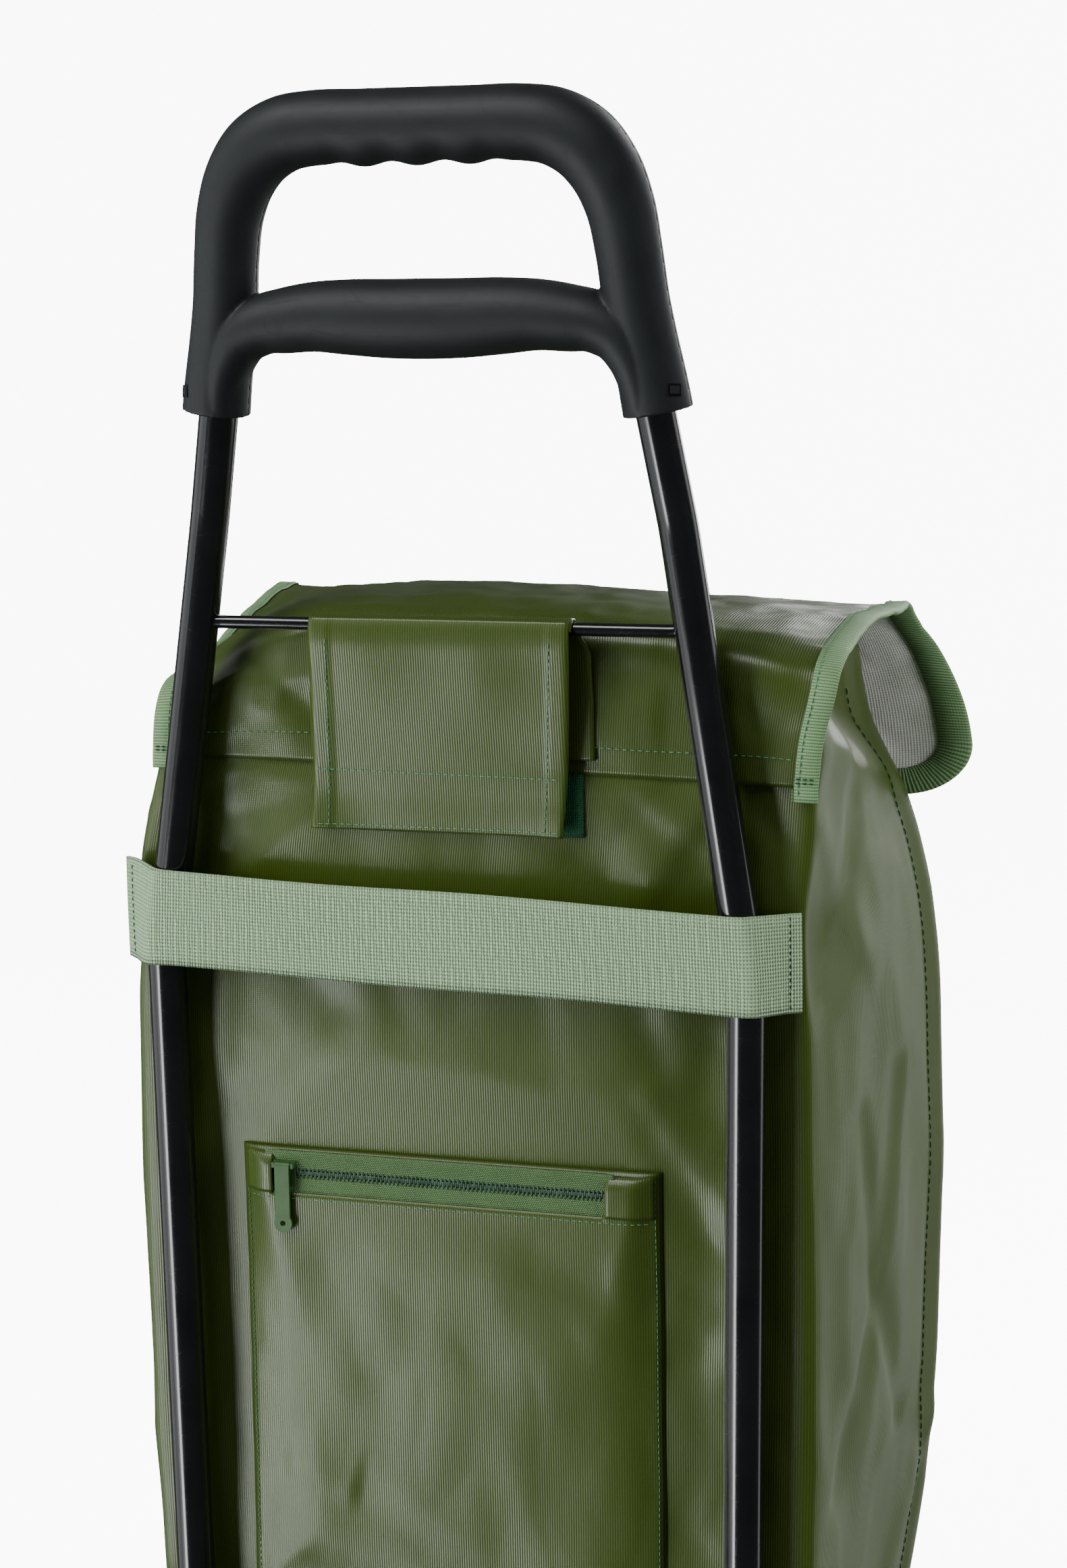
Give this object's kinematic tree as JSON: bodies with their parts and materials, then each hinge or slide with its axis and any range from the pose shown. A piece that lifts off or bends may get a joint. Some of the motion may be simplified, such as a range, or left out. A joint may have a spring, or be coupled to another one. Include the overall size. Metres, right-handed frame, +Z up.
{
  "type": "shopping trolley",
  "caption": "Upright shopping trolley: leaning black tube frame with a looped handle, a hung green canvas bag with a lid flap and zipped back pocket, and wheels at the foot.",
  "frame": {"origin": "centre of the footprint box, on the floor", "axes": "+Z up; +Y forward, to the bag's front; +X to the right of someone standing behind the handle"},
  "size_m": [0.4626, 0.3221, 0.9495],
  "materials": {
    "frame_steel": "gloss black powder coat on steel tube",
    "small_plastic": "satin moulded plastic",
    "zinc": "zinc-plated steel",
    "hub_plastic": "satin moulded plastic",
    "tyre_rubber": "matte rubber",
    "handle_plastic": "satin moulded plastic with light scratches",
    "canvas": "glossy coated cotton canvas, dark olive green",
    "board": "stiff sheet in the bottom of the bag",
    "binding": "ribbed tape, mid green",
    "webbing": "ribbed webbing, light green",
    "hook_loop": "hook and loop tape, dark green",
    "zip_tape": "woven zip tape and coil, green",
    "zip_metal": "green lacquered zinc"
  },
  "bodies": {
    "root": {"left_side_tube": "frame_steel", "right_side_tube": "frame_steel", "hanger_rod": "frame_steel", "lower_crossbar": "frame_steel", "base_frame": "frame_steel", "base_wires": "frame_steel", "stand_leg": "frame_steel", "stand_glides": "small_plastic", "tube_plugs": "small_plastic", "axle": "zinc", "axle_spacers": "small_plastic", "axle_washers": "zinc", "axle_caps": "small_plastic", "handle_rear_shell": "handle_plastic", "handle_front_shell": "handle_plastic", "snap_latches": "handle_plastic", "bag_back_panel": "canvas", "bag_front_panel": "canvas", "bag_left_side": "canvas", "bag_right_side": "canvas", "bag_bottom_panel": "canvas", "bottom_board": "board", "front_loop_tape": "hook_loop", "flap_rear_leaf": "canvas", "rear_binding": "binding", "hanger_inner_leaf": "canvas", "hanger_loop_tape": "hook_loop", "webbing_strap": "webbing", "pocket_panel": "canvas", "zip_left_tab": "canvas", "zip_right_tab": "canvas", "zip_upper_tape": "zip_tape", "zip_lower_tape": "zip_tape", "zip_upper_teeth": "zip_tape", "zip_lower_teeth": "zip_tape"},
    "left_wheel": {"left_wheel_hub": "hub_plastic", "left_tyre": "tyre_rubber"},
    "right_wheel": {"right_wheel_hub": "hub_plastic", "right_tyre": "tyre_rubber"},
    "lid": {"flap_lid_leaf": "canvas", "lid_binding": "binding", "lid_hook_tape": "hook_loop"},
    "hanger_leaf": {"hanger_outer_leaf": "canvas", "hanger_hook_tape": "hook_loop"},
    "slider": {"zip_slider": "zip_metal"},
    "pull": {"zip_pull": "zip_metal"}
  },
  "joints": [
    {"name": "left_wheel_spin", "type": "hinge", "parent": "root", "child": "left_wheel", "pos_m": [-0.2055, -0.07776, 0.075], "axis": [1, 0, 0], "continuous": true},
    {"name": "right_wheel_spin", "type": "hinge", "parent": "root", "child": "right_wheel", "pos_m": [0.2055, -0.07776, 0.075], "axis": [1, 0, 0], "continuous": true},
    {"name": "lid_open", "type": "hinge", "parent": "root", "child": "lid", "pos_m": [0, -0.09757, 0.69974], "axis": [1, 0, 0], "range_deg": [0, 95]},
    {"name": "hanger_leaf_lift", "type": "hinge", "parent": "root", "child": "hanger_leaf", "pos_m": [0, -0.11085, 0.6861], "axis": [-1, 0, 0], "range_deg": [0, 150]},
    {"name": "zip_slide", "type": "slide", "parent": "root", "child": "slider", "axis": [1, 0, 0], "range_m": [0, 0.17]},
    {"name": "zip_pull_swing", "type": "hinge", "parent": "slider", "child": "pull", "pos_m": [-0.096, -0.09306, 0.40015], "axis": [-1, 0, 0], "range_deg": [0, 150]}
  ]
}
